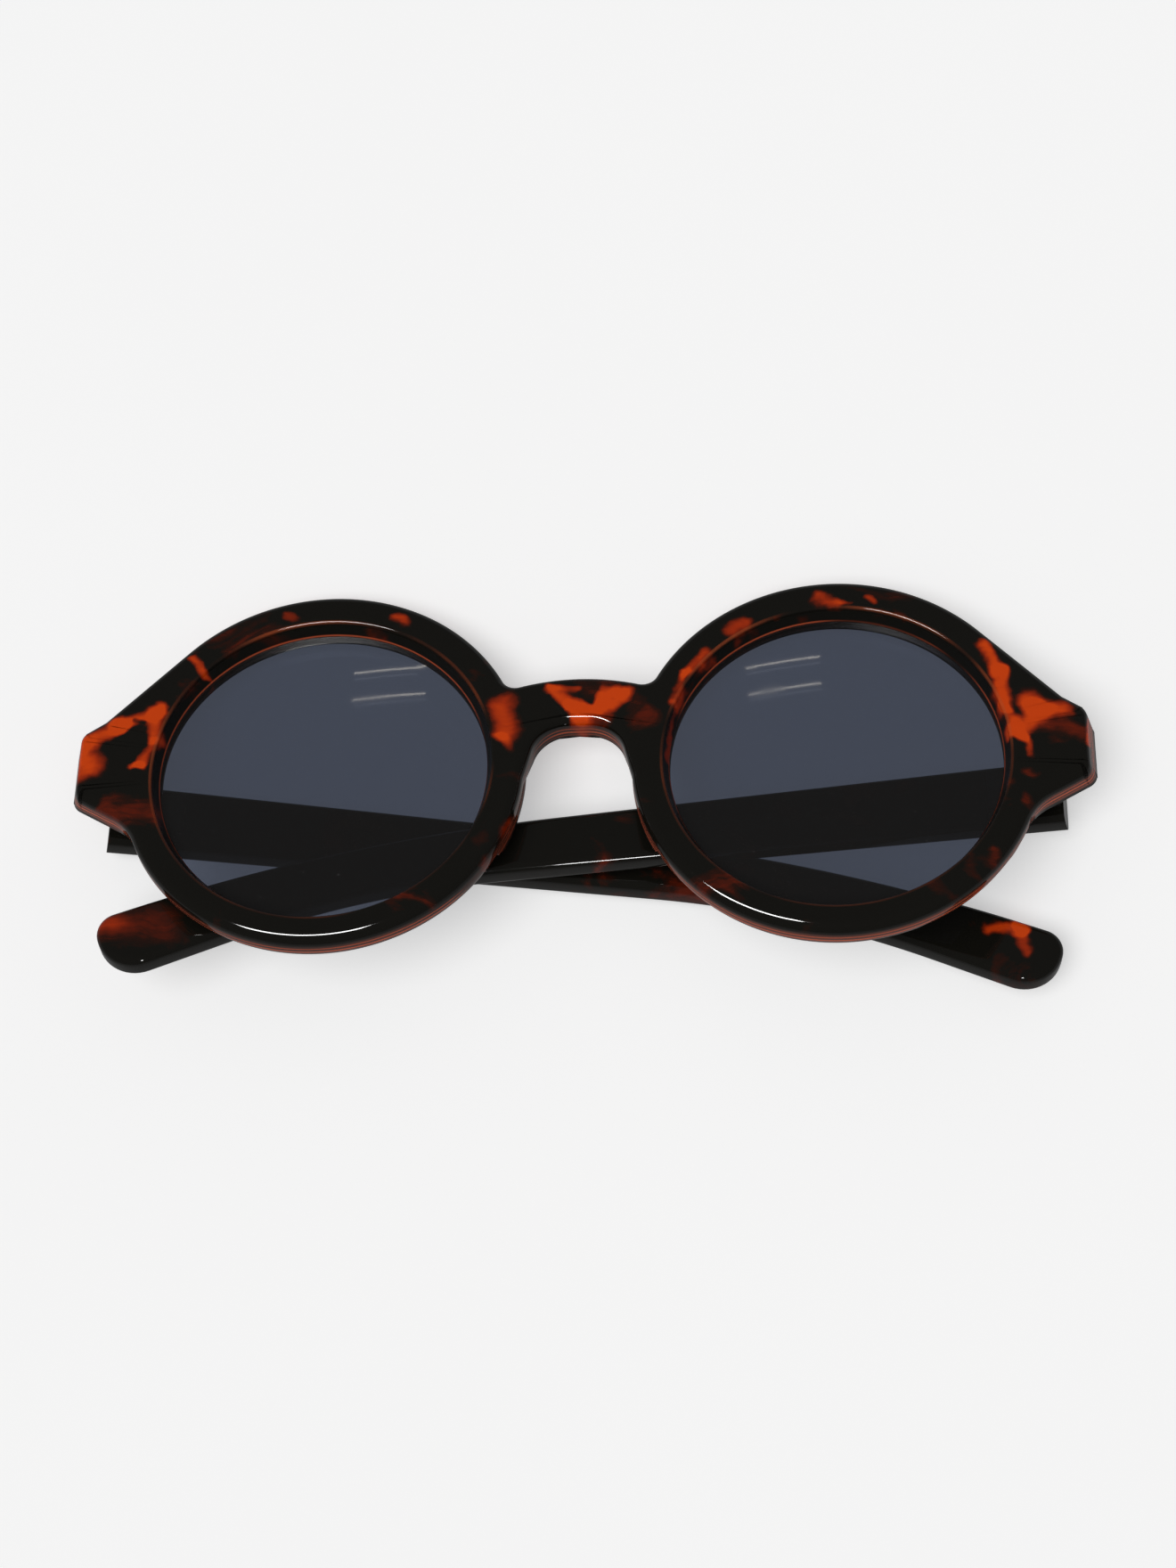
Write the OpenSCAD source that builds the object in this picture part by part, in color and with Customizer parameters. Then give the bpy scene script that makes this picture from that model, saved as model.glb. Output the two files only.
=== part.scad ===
// Round sunglasses, folded and lying face up on the table.
// Everything is drawn in the front's own axes and then laid down by at_rest():
// X runs to the wearer's left, Y to the brow, Z out of the front's face at Z = 0.
// A temple is drawn in its hinge's axes: the hinge pin is Y, the folded temple runs along X.

/* [Rims] */
// Half the distance between the two lens centres
lens_x = 36; // [32:0.5:40]
// Radius of the lens opening at the face
opening_r = 24.1; // [20:0.1:26]
// Width of the rim's face
rim_w = 4.35; // [3:0.05:6]
// How far the rim's outer circle sits above the lens centre
rim_rise = 0.4; // [0:0.1:1]
// Thickness of the rims and the bridge
front_t = 4.3; // [3.6:0.1:6]
// Rounding of the rim's front edge
rim_round = 1.5; // [0.5:0.1:2]
// Depth of the moulding's parting line behind the face
parting_z = 3; // [2:0.1:4]
// How far the wall steps in from the parting line to the back
rim_draft = 0.4; // [0:0.05:0.8]

/* [Lenses] */
// Thickness of a lens
lens_t = 1.6; // [1.2:0.1:2]
// Radius of the lens's outer surface
lens_curve_r = 180; // [120:5:400]
// How deep behind the face the lens's edge shows
lens_depth = 2.4; // [1.5:0.1:3]
// How far the opening narrows from the face to the lens
opening_bevel = 0.9; // [0.3:0.1:1.5]
// Height of the ridge on the lens's edge
ridge_h = 1; // [0.5:0.1:1.2]
// Half the width of that ridge at its foot
ridge_half = 0.5; // [0.3:0.05:0.7]
// Gap between the lens and its groove
lens_gap = 0.03; // [0.02:0.01:0.1]

/* [Bridge] */
// Height of the bridge's top above the lens centres
bridge_top = 13.7; // [11:0.1:16]
// Height of the bridge's underside above the lens centres
bridge_bottom = 6.2; // [4:0.1:8]
// Radius of the arched top
bridge_arch_r = 33; // [25:1:60]
// Fillet from the bridge's top into the rims
bridge_fillet = 5; // [2:0.5:8]
// Rounding of the bridge's front edges
bridge_round = 1.2; // [0.4:0.1:1.5]
// Radius of the nose gap's upper corners
nose_r = 5.5; // [4:0.1:6]
// Half the flat between those corners
nose_half = 1.2; // [0.6:0.1:2]
// Lean of the nose gap's sides
nose_flare = 15; // [8:1:22]

/* [Nose pads] */
// How far a pad stands behind the rim
pad_h = 2.2; // [1:0.1:2.4]
// Radius of the pad's rounded section
pad_r = 2.3; // [1.5:0.1:2.5]
// Curve of the pad along its length
pad_curve_r = 16; // [12:1:24]
// How far below the lens centre the pad's middle lies, as an angle round the lens
pad_drop = 10; // [0:1:20]

/* [End pieces] */
// Half the width of the front's face
end_x = 70.8; // [66:0.1:76]
// Thickness of an end piece
end_t = 4.8; // [4.5:0.1:6]
// Lean of the outer wall
end_splay = 17; // [0:1:25]
// Rounding of the outer front edge
end_round = 1; // [0.4:0.1:1.5]
// Slope of the shoulder that leaves the rim
shoulder_slope = 46; // [38:1:52]
// Width of the flatter ledge above the outer corner
ledge_w = 3.2; // [1:0.1:5]
// Slope of that ledge
ledge_slope = 34; // [20:1:45]
// Height of the lower corner above the lens centres
end_low_y = -3.9; // [-7:0.1:0]
// Slope of the lower edge
low_slope = 30; // [15:1:45]
// Fillet from the lower edge into the rim
end_fillet = 8; // [4:0.5:14]

/* [Hinges] */
// Radius of the hinge barrels
barrel_r = 1.4; // [1.2:0.05:1.8]
// Radius of the hinge screw's shank
screw_r = 0.7; // [0.5:0.05:0.9]
// Running clearance of the temple's barrel on the screw
pin_clearance = 0.05; // [0.02:0.01:0.08]
// Radius of the screw's head
head_r = 1.3; // [1:0.05:1.6]
// Thickness of the screw's head
head_t = 0.8; // [0.5:0.1:1.2]
// Width and depth of the slot in the screw's head
slot_w = 0.4; // [0.3:0.05:0.6]
// How far the screw stands out below the barrels
screw_proud = 0.3; // [0:0.1:0.6]
// Length of the middle barrel
middle_barrel = 2.4; // [1.6:0.1:3]
// Length of each outer barrel
outer_barrel = 1.6; // [1:0.1:2]
// Gap between neighbouring barrels
barrel_gap = 0.1; // [0.05:0.01:0.2]
// Thickness of the hinge leaves
leaf_t = 1; // [0.8:0.1:1.4]
// How deep the leaves are pressed into the plastic
leaf_sunk = 0.5; // [0.3:0.1:0.8]
// Length of the leaf on the front
front_leaf = 5.8; // [5:0.1:7]
// Length of the leaf on the temple
temple_leaf = 10; // [7:0.5:14]
// How far that leaf reaches past the pin
leaf_past = 1; // [0.5:0.1:1.2]
// Height of the hinge's middle above the lens centres
hinge_y = -1.4; // [-4:0.1:2]
// Depth of the pin behind the end piece's back
axis_back = 2.5; // [2.4:0.1:4]
// Gap left between the open temple and the end piece
butt_gap = 0.1; // [0.05:0.05:0.3]
// How far past flat the left temple folds
left_past = 1.5; // [0:0.1:3]
// How far short of flat the right temple stays, over the left one
right_short = 3.2; // [2.8:0.1:8]

/* [Temples] */
// Thickness of a temple
temple_t = 4; // [3:0.1:5]
// Gap from the pin to the temple's inner face
temple_off = 2; // [1.9:0.1:3]
// Slant of the temple's end, its mitre against the end piece
mitre = 13; // [0:1:20]
// Height of the top edge above the hinge's middle
temple_up = 5; // [4:0.1:6]
// Depth of the bottom edge below the hinge's middle
temple_down = 5; // [4:0.1:6]
// Slope of the top edge
top_slope = 6.7; // [3:0.1:10]
// Slope of the bottom edge
bottom_slope = 5.3; // [2:0.1:9]
// Where the top edge starts to bend down
top_straight = 70; // [60:1:95]
// Where the bottom edge starts to bend down
bottom_straight = 76; // [60:1:95]
// Radius of the top edge's bend
top_bend_r = 260; // [160:5:320]
// Radius of the bottom edge's bend
bottom_bend_r = 140; // [90:5:220]
// Turn of the top edge's bend
top_bend = 13.2; // [8:0.1:20]
// Turn of the bottom edge's bend
bottom_bend = 16.5; // [8:0.1:22]
// Distance from the hinge pin to the temple's end, along the tip
temple_reach = 132.6; // [120:0.1:150]
// Rounding of the tip's upper corner
tip_upper_r = 3.2; // [2:0.1:5]
// Rounding of the tip's lower corner
tip_lower_r = 5.4; // [3:0.1:7]
// Rounding of the temple's long edges
temple_round = 1.2; // [0.4:0.1:1.8]

/* [Place on the table] */
// Where the row's origin lies along the front, from the bridge
origin_x = 0.06; // [-10:0.02:10]
// Where the row's origin lies across the front, from the lens centres
origin_y = -2.9; // [-10:0.1:10]

/* [Hidden] */
$fn = 96;
spare = 1;
// How far a rounding's arc runs past the two faces that it joins, so that they cross cleanly.
graze = 0.005;
// How far a fillet or a rounded corner runs past the two edges that it joins.
lap = 0.03;
bend_lap = 0.1;
rim_r = opening_r + rim_w;
rim_c = [lens_x, rim_rise];
seat_r = opening_r - opening_bevel;
ridge_z = -lens_depth - lens_t / 2;
lens_sag = lens_curve_r - sqrt(pow(lens_curve_r, 2) - pow(seat_r, 2));
lens_top_z = lens_sag - lens_depth;

arch_c = [0, bridge_top - bridge_arch_r];
nose_y = bridge_bottom - nose_r;
nose_c = [nose_half, nose_y];
nose_side = at_bearing(nose_c, nose_r, nose_flare);
bridge_fillet_c = circles_meet(arch_c, bridge_arch_r + bridge_fillet, rim_c, rim_r + bridge_fillet);
arch_end = toward(arch_c, bridge_fillet_c, bridge_arch_r);
rim_start = toward(rim_c, bridge_fillet_c, rim_r);
web_foot = at_bearing(ray_meets_circle(nose_side, nose_flare - 90, rim_c, rim_r), spare,
    nose_flare - 90);

shoulder_at = 90 - shoulder_slope;
shoulder = at_bearing(rim_c, rim_r - lap, shoulder_at);
ledge_x = end_x - ledge_w;
ledge_start = [ledge_x, shoulder[1] - (ledge_x - shoulder[0]) * tan(shoulder_slope)];
beyond_x = end_x + 4;
ledge_end = [beyond_x, ledge_start[1] - (beyond_x - ledge_x) * tan(ledge_slope)];
low_end = [beyond_x, end_low_y + (beyond_x - end_x) * tan(low_slope)];
low_out = [sin(low_slope), -cos(low_slope)];
end_fillet_c = ray_meets_circle(low_end + end_fillet * low_out, 180 + low_slope,
    rim_c, rim_r + end_fillet);
low_start = end_fillet_c - end_fillet * low_out;
rim_back = toward(rim_c, end_fillet_c, rim_r);
end_round_c = [end_x - end_round, -end_round];
wall_foot = at_bearing(end_round_c, end_round, end_splay);
wall_x = wall_foot[0] + wall_foot[1] * tan(end_splay);
back_x = wall_x + end_t * tan(end_splay);

hinge_x = back_x - temple_off - temple_t;
hinge_z = -end_t - axis_back;
stack_half = middle_barrel / 2 + barrel_gap + outer_barrel;
leaf_off = temple_off + leaf_sunk - leaf_t;
butt_x = -axis_back + butt_gap;

top_y0 = hinge_y + temple_up;
bottom_y0 = hinge_y - temple_down;
outer_z = -temple_off - temple_t;
start_x = -2 * axis_back;
tip_top_slope = top_slope + top_bend;
tip_bottom_slope = bottom_slope + bottom_bend;
tip_slope = (tip_top_slope + tip_bottom_slope) / 2;
top_bend_at = [top_straight, top_y0 - top_straight * tan(top_slope)];
bottom_bend_at = [bottom_straight, bottom_y0 - bottom_straight * tan(bottom_slope)];
top_c = at_bearing(top_bend_at, -top_bend_r, 90 - top_slope);
bottom_c = at_bearing(bottom_bend_at, -bottom_bend_r, 90 - bottom_slope);
tip_top_at = at_bearing(top_c, top_bend_r, 90 - tip_top_slope);
tip_bottom_at = at_bearing(bottom_c, bottom_bend_r, 90 - tip_bottom_slope);
top_corner = top_bend_at + top_bend_r * tan(top_bend / 2) * along(top_slope);
upper_corner = meets_end(tip_top_at, along(tip_top_slope));
lower_corner = meets_end(tip_bottom_at, along(tip_bottom_slope));
upper_c = corner_centre(upper_corner, -along(tip_top_slope), along(90 + tip_slope), tip_upper_r);
lower_c = corner_centre(lower_corner, -along(tip_bottom_slope), -along(90 + tip_slope),
    tip_lower_r);

// The glasses rest on the right temple's straight top edge and on the right rim's back.
edge_start = on_right_temple([0, top_y0 - temple_round / cos(top_slope),
    outer_z + temple_round]);
edge_end = on_right_temple([top_straight, top_bend_at[1] - temple_round / cos(top_slope),
    outer_z + temple_round]);
rim_foot = [-lens_x, rim_rise + rim_r - rim_draft, -front_t];
edge_dir = unit(edge_end - edge_start);
from_foot = edge_start - rim_foot;
from_line = from_foot - (from_foot * edge_dir) * edge_dir;
lift = temple_round / norm(from_line);
table_up = lift * unit(from_line) + sqrt(1 - lift * lift) * cross(unit(from_line), edge_dir);
rest_tilt = atan2(table_up[1], table_up[2]);
rest_roll = -asin(table_up[0]);

function unit(v) = v / norm(v);

// The point at distance d from a on the way to b.
function toward(a, b, d) = a + d * unit(b - a);

// The upper meeting point of two circles, the second one to the right of the first.
function circles_meet(c1, r1, c2, r2) =
    let (d = norm(c2 - c1), a = (r1 * r1 - r2 * r2 + d * d) / (2 * d),
        h = sqrt(r1 * r1 - a * a), u = (c2 - c1) / d)
    c1 + a * u + h * [-u[1], u[0]];

// Where a ray from p, in the direction of an angle, first meets a circle.
function ray_meets_circle(p, angle, c, r) =
    let (u = [cos(angle), sin(angle)], q = p - c, b = q * u)
    p + (-b - sqrt(b * b - q * q + r * r)) * u;

// The way along an edge that falls at a slope.
function along(slope) = [cos(slope), -sin(slope)];

// The point at a distance from c in the direction of an angle.
function at_bearing(c, d, angle) = c + d * [cos(angle), sin(angle)];

// Where an edge of the temple, from p along way, meets the end face.
function meets_end(p, way) =
    p + (temple_reach - p * along(tip_slope)) / (way * along(tip_slope)) * way;

// Centre of the rounding of a corner whose edges leave it along a and b.
function corner_centre(corner, a, b, r) =
    corner + r / abs(a[0] * b[1] - a[1] * b[0]) * (a + b);

// The direction of a point seen from a centre.
function bearing(c, p) = atan2(p[1] - c[1], p[0] - c[0]);

// How far an arc with a lap has to run on to be clear of the edge that it crosses.
function clear_angle(r, lap) = 1.5 * acos(1 - lap / r);
function clear_run(r, lap) = r * sin(clear_angle(r, lap));

// A point of the right temple, in the front's axes.
function on_right_temple(p) = [
    -hinge_x + p[0] * cos(right_short) + p[2] * sin(right_short),
    p[1],
    hinge_z - p[0] * sin(right_short) + p[2] * cos(right_short)];

module at_rest() {
    translate([-origin_x, -origin_y, -table_up * rim_foot])
        rotate([rest_tilt, rest_roll, 0])
            children();
}

// Mirrors what is drawn for the wearer's left over to the right.
module to_side(side) {
    if (side == "left")
        children();
    else
        mirror([1, 0, 0])
            children();
}

// Puts a temple's own axes at its hinge pin, folded behind the front.
module at_hinge(side) {
    past = side == "left" ? left_past : -right_short;
    to_side(side)
        translate([hinge_x, 0, hinge_z])
            rotate([0, past, 0])
                mirror([1, 0, 0])
                    children();
}

// Section of the waste that leaves a rounded edge: X into the material, Y out of the face.
module edge_waste(r) {
    difference() {
        translate([-spare, -r])
            square([r + spare, r + spare]);
        translate([r - graze, graze - r])
            circle(r, $fn = 48);
    }
}

// Rounds the front edge from p to q and a little past them, with the material on the left.
module round_straight(p, q, r, before = lap, after = lap) {
    translate([p[0], p[1], 0])
        rotate([0, 0, bearing(p, q)])
            translate([-before, 0, 0])
                rotate([90, 0, 90])
                    linear_extrude(before + norm(q - p) + after)
                        edge_waste(r);
}

// Rounds the front edge along an arc whose inside is material.
module round_arc(c, arc_r, from, to, r) {
    translate([c[0], c[1], 0])
        rotate([0, 0, from])
            rotate_extrude(angle = to - from, $fn = 4 * $fn)
                translate([arc_r, 0])
                    mirror([1, 0])
                        edge_waste(r);
}

// Rounds the front edge along a hollow arc and a little past its ends.
module round_hollow(c, arc_r, from, to, lap, r) {
    past = clear_angle(arc_r, lap);
    translate([c[0], c[1], 0])
        rotate([0, 0, from - past])
            rotate_extrude(angle = to - from + 2 * past, $fn = 4 * $fn)
                translate([arc_r + lap, 0])
                    edge_waste(r);
}

// A sector that reaches past the corner which an arc rounds.
module sector(c, r, from, to) {
    polygon([c, at_bearing(c, r + spare, from),
        at_bearing(c, (r + spare) / cos((to - from) / 2), (from + to) / 2),
        at_bearing(c, r + spare, to)]);
}

// What a corner loses when it is rounded between two bearings.
module beyond_arc(c, r, from, to, lap) {
    difference() {
        sector(c, r, from, to);
        translate(c)
            circle(r + lap, $fn = 4 * $fn);
    }
}

module rim_blank() {
    rotate_extrude()
        difference() {
            polygon([[0, 0], [rim_r, 0], [rim_r, -parting_z], [rim_r - rim_draft, -front_t],
                [0, -front_t]]);
            translate([rim_r, 0])
                mirror([1, 0])
                    edge_waste(rim_round);
        }
}

module bridge_outline() {
    difference() {
        union() {
            intersection() {
                translate(arch_c)
                    circle(bridge_arch_r, $fn = 4 * $fn);
                translate([-rim_start[0], web_foot[1]])
                    square([2 * rim_start[0], bridge_top]);
            }
            for (side = [0, 1])
                mirror([side, 0])
                    difference() {
                        polygon([arch_end, bridge_fillet_c, rim_start,
                            [rim_start[0], web_foot[1]], [0, web_foot[1]], [0, arch_end[1]]]);
                        translate(bridge_fillet_c)
                            circle(bridge_fillet + lap);
                    }
        }
        for (side = [0, 1])
            mirror([side, 0])
                translate(nose_c)
                    circle(nose_r + lap);
        polygon([[-nose_half, bridge_bottom], [nose_half, bridge_bottom], nose_side,
            web_foot, [web_foot[0], web_foot[1] - spare], [-web_foot[0], web_foot[1] - spare],
            [-web_foot[0], web_foot[1]], [-nose_side[0], nose_side[1]]]);
    }
}

module bridge() {
    arch_from = bearing(arch_c, arch_end);
    difference() {
        translate([0, 0, -front_t])
            linear_extrude(front_t)
                bridge_outline();
        round_arc(arch_c, bridge_arch_r, arch_from, 180 - arch_from, bridge_round);
        round_straight([nose_half, bridge_bottom], [-nose_half, bridge_bottom], bridge_round);
        for (side = [0, 1])
            mirror([side, 0, 0]) {
                round_hollow(bridge_fillet_c, bridge_fillet, bearing(bridge_fillet_c, arch_c),
                    bearing(bridge_fillet_c, rim_c), lap, bridge_round);
                round_hollow(nose_c, nose_r, nose_flare, 90, lap, bridge_round);
                round_straight(web_foot, nose_side, bridge_round);
            }
    }
}

module end_outline() {
    difference() {
        polygon([rim_c, shoulder, ledge_start, ledge_end, low_end, low_start,
            end_fillet_c, rim_back]);
        translate(end_fillet_c)
            circle(end_fillet + lap);
    }
}

// The end piece seen from above: flat face, rounded edge, leaning outer wall.
module end_plan() {
    difference() {
        polygon([[lens_x, 0], [wall_x, 0], [back_x, -end_t], [hinge_x - front_leaf, -end_t],
            [hinge_x - front_leaf - spare, -front_t], [lens_x, -front_t]]);
        beyond_arc(end_round_c, end_round, end_splay, 90, graze);
    }
}

module end_piece() {
    difference() {
        intersection() {
            translate([0, 0, -end_t])
                linear_extrude(end_t)
                    end_outline();
            translate([0, rim_r, 0])
                rotate([90, 0, 0])
                    linear_extrude(2 * rim_r)
                        end_plan();
        }
        round_straight(ledge_end, ledge_start, rim_round, spare, spare);
        round_straight(ledge_start, shoulder, rim_round, spare, spare);
        round_straight(low_start, low_end, rim_round, lap, spare);
        round_hollow(end_fillet_c, end_fillet, 90 + low_slope, bearing(end_fillet_c, rim_c),
            lap, rim_round);
    }
}

// A nose pad: a bead along the rim's nose side that swells behind it.
module nose_pad() {
    bead = rim_r - rim_draft - pad_r + 0.5;
    translate([lens_x, rim_rise, 0])
        rotate([0, 0, 180 + pad_drop])
            intersection() {
                rotate([0, 0, -pad_curve_r * 2])
                    rotate_extrude(angle = pad_curve_r * 4)
                        translate([bead, -front_t + pad_r - pad_h])
                            circle(pad_r);
                translate([bead, 0, -front_t - pad_h + pad_curve_r])
                    sphere(pad_curve_r);
            }
}

// The opening with its bevel in front, the groove for the lens and the way in from behind.
module opening() {
    slope = opening_bevel / lens_depth;
    rotate_extrude()
        polygon([[0, spare], [opening_r + slope * spare, spare], [seat_r, -lens_depth],
            [seat_r, ridge_z + ridge_half], [seat_r + ridge_h, ridge_z],
            [seat_r, ridge_z - ridge_half], [seat_r, -front_t], [seat_r, -front_t - spare],
            [0, -front_t - spare]]);
}

module front_frame() {
    color([0.16, 0.08, 0.04])
        difference() {
            union() {
                bridge();
                for (side = ["left", "right"])
                    to_side(side) {
                        translate([lens_x, rim_rise, 0])
                            rim_blank();
                        end_piece();
                        nose_pad();
                    }
            }
            for (side = ["left", "right"])
                to_side(side) {
                    translate([lens_x, 0, 0])
                        opening();
                    translate([hinge_x, 0, hinge_z])
                        front_leaf_plate(lens_gap);
                }
        }
}

module lens(side) {
    color([0.28, 0.31, 0.36, 0.8])
        to_side(side)
            translate([lens_x, 0, 0])
                rotate_extrude()
                    intersection() {
                        translate([0, lens_top_z - lens_curve_r])
                            difference() {
                                circle(lens_curve_r, $fn = 8 * $fn);
                                circle(lens_curve_r - lens_t, $fn = 8 * $fn);
                            }
                        polygon([[0, spare], [seat_r - lens_gap, spare],
                            [seat_r - lens_gap, ridge_z + ridge_half],
                            [seat_r - lens_gap + ridge_h, ridge_z],
                            [seat_r - lens_gap, ridge_z - ridge_half],
                            [seat_r - lens_gap, -end_t], [0, -end_t]]);
                    }
}

module temple_outline() {
    past = clear_angle(bottom_bend_r, bend_lap);
    difference() {
        polygon([[start_x, top_y0 - start_x * tan(top_slope)], top_corner, upper_corner,
            lower_corner, tip_bottom_at, bottom_c, bottom_bend_at,
            [start_x, bottom_y0 - start_x * tan(bottom_slope)]]);
        intersection() {
            sector(bottom_c, bottom_bend_r, 90 - tip_bottom_slope - past, 90 - bottom_slope + past);
            translate(bottom_c)
                circle(bottom_bend_r + bend_lap, $fn = 4 * $fn);
        }
        beyond_arc(top_c, top_bend_r, 90 - tip_top_slope, 90 - top_slope, bend_lap);
        beyond_arc(upper_c, tip_upper_r, -tip_slope, 90 - tip_top_slope, lap);
        beyond_arc(lower_c, tip_lower_r, -90 - tip_bottom_slope, -tip_slope, lap);
    }
}

// Rounds a temple's straight edges on one face.
module temple_straights() {
    r = temple_round;
    bend_run = clear_run(top_bend_r, bend_lap);
    upper_run = clear_run(tip_upper_r, lap);
    lower_run = clear_run(tip_lower_r, lap);
    round_straight(top_bend_at, [start_x, top_y0 - start_x * tan(top_slope)], r, bend_run);
    round_straight(at_bearing(upper_c, tip_upper_r, 90 - tip_top_slope), tip_top_at, r,
        upper_run, bend_run);
    round_straight(at_bearing(lower_c, tip_lower_r, -tip_slope),
        at_bearing(upper_c, tip_upper_r, -tip_slope), r, lower_run, upper_run);
    round_straight(tip_bottom_at, at_bearing(lower_c, tip_lower_r, -90 - tip_bottom_slope), r,
        lap, lower_run);
    round_straight([start_x, bottom_y0 - start_x * tan(bottom_slope)], bottom_bend_at, r);
}

// Rounds its bends and the corners of its tip.
module temple_arcs() {
    r = temple_round;
    round_arc(top_c, top_bend_r + bend_lap, 90 - tip_top_slope, 90 - top_slope, r);
    round_arc(upper_c, tip_upper_r + lap, -tip_slope, 90 - tip_top_slope, r);
    round_arc(lower_c, tip_lower_r + lap, -90 - tip_bottom_slope, -tip_slope, r);
    round_hollow(bottom_c, bottom_bend_r, 90 - tip_bottom_slope, 90 - bottom_slope, bend_lap, r);
}

// Does the same to both faces of a temple.
module both_faces() {
    translate([0, 0, -temple_off])
        children();
    translate([0, 0, outer_z])
        mirror([0, 0, 1])
            children();
}

// The waste beyond the temple's mitred end.
module butt_waste() {
    run = tan(mitre);
    translate([0, temple_reach, 0])
        rotate([90, 0, 0])
            linear_extrude(2 * temple_reach)
                polygon([[butt_x - spare * run, outer_z - spare],
                    [butt_x + (temple_t + spare) * run, spare - temple_off],
                    [-temple_reach, spare - temple_off], [-temple_reach, outer_z - spare]]);
}

module temple(side) {
    color([0.14, 0.07, 0.04])
        at_hinge(side)
            difference() {
                difference() {
                    translate([0, 0, outer_z])
                        linear_extrude(temple_t)
                            temple_outline();
                    both_faces()
                        temple_straights();
                }
                both_faces()
                    temple_arcs();
                butt_waste();
                temple_leaf_plate(lens_gap);
            }
}

// A hinge leaf's plate, from its end on one side of the pin to its end on the other.
module leaf_plate(from, to, inner, gap) {
    translate([from - gap, hinge_y - stack_half - gap, inner])
        cube([to - from + 2 * gap, 2 * (stack_half + gap), leaf_t]);
}

module front_leaf_plate(gap) {
    leaf_plate(barrel_r - front_leaf, barrel_r, axis_back + leaf_sunk - leaf_t, gap);
}

module temple_leaf_plate(gap) {
    leaf_plate(-leaf_past, temple_leaf - leaf_past, -leaf_off - leaf_t, gap);
}

// A rod along the pin, centred on a height above the lens centres.
module pin_rod(r, long, y) {
    translate([0, y + long / 2, 0])
        rotate([90, 0, 0])
            cylinder(r = r, h = long);
}

module hinge_front_leaf(side) {
    reach = (middle_barrel + outer_barrel) / 2 + barrel_gap;
    color([0.75, 0.7, 0.5])
        to_side(side)
            translate([hinge_x, 0, hinge_z])
                difference() {
                    union() {
                        front_leaf_plate(0);
                        for (y = [hinge_y - reach, hinge_y + reach]) {
                            pin_rod(barrel_r, outer_barrel, y);
                            translate([-barrel_r, y - outer_barrel / 2, 0])
                                cube([2 * barrel_r, outer_barrel, axis_back]);
                        }
                    }
                    pin_rod(screw_r, 4 * stack_half, hinge_y);
                }
}

module hinge_temple_leaf(side) {
    color([0.75, 0.7, 0.5])
        at_hinge(side)
            difference() {
                union() {
                    temple_leaf_plate(0);
                    pin_rod(barrel_r, middle_barrel, hinge_y);
                    translate([-leaf_past, hinge_y - middle_barrel / 2, -temple_off])
                        cube([leaf_past + barrel_r, middle_barrel, temple_off]);
                }
                pin_rod(screw_r + pin_clearance, 4 * stack_half, hinge_y);
            }
}

module hinge_screw(side) {
    shank = 2 * stack_half + screw_proud;
    color([0.8, 0.8, 0.8])
        to_side(side)
            translate([hinge_x, 0, hinge_z])
                difference() {
                    union() {
                        pin_rod(screw_r, shank, hinge_y - screw_proud / 2);
                        pin_rod(head_r, head_t, hinge_y + stack_half + head_t / 2);
                    }
                    translate([-slot_w / 2, hinge_y + stack_half + head_t - slot_w, -2 * head_r])
                        cube([slot_w, 2 * slot_w, 4 * head_r]);
                }
}

at_rest() front_frame();
at_rest() lens("left");  // lens_left
at_rest() lens("right");  // lens_right
at_rest() temple("left");  // temple_left
at_rest() temple("right");  // temple_right
at_rest() hinge_front_leaf("left");  // hinge_front_leaf_left
at_rest() hinge_front_leaf("right");  // hinge_front_leaf_right
at_rest() hinge_temple_leaf("left");  // hinge_temple_leaf_left
at_rest() hinge_temple_leaf("right");  // hinge_temple_leaf_right
at_rest() hinge_screw("left");  // hinge_screw_left
at_rest() hinge_screw("right");  // hinge_screw_right
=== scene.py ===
import math
from collections import namedtuple

import bmesh
import bpy
import numpy as np
from mathutils import Euler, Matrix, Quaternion, Vector


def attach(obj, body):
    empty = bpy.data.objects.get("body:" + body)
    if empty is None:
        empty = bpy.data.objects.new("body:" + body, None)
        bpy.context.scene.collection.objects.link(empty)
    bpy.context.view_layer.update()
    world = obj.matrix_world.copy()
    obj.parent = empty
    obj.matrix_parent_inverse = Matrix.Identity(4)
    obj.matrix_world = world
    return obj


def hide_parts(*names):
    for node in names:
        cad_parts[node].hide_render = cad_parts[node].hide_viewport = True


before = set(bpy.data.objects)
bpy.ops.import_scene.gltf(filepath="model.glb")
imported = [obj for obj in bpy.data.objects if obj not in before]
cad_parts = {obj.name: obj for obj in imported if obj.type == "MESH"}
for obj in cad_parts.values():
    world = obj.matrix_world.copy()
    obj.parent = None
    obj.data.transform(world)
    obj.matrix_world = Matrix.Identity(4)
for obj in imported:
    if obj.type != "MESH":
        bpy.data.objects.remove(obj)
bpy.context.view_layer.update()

# Camera: nearly straight above the sunglasses

camera = bpy.data.objects.new("camera", bpy.data.cameras.new("camera"))
bpy.context.scene.collection.objects.link(camera)
camera.data.sensor_fit = "HORIZONTAL"
camera.data.sensor_width = 36.0
camera.data.lens = 98.92
camera.data.clip_start = 0.01
camera.location = (0.03144, -0.086682, 0.454085)
camera.rotation_euler = Euler([math.radians(a) for a in (10.9885, 4.0102, -0.5826)], "XYZ")
bpy.context.scene.camera = camera
bpy.context.scene.view_settings.view_transform = "Standard"

# The sunglasses' own measures, in mm and degrees, in the front's axes.
# X runs to the wearer's left, Y to the brow, Z out of the front's flat face.

# Rims
FRONT_T = 4.3
LENS_X = 36.0
RIM_R = 28.45
RIM_C = np.array([LENS_X, 0.4])
RIM_ROUND = 1.5
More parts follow.
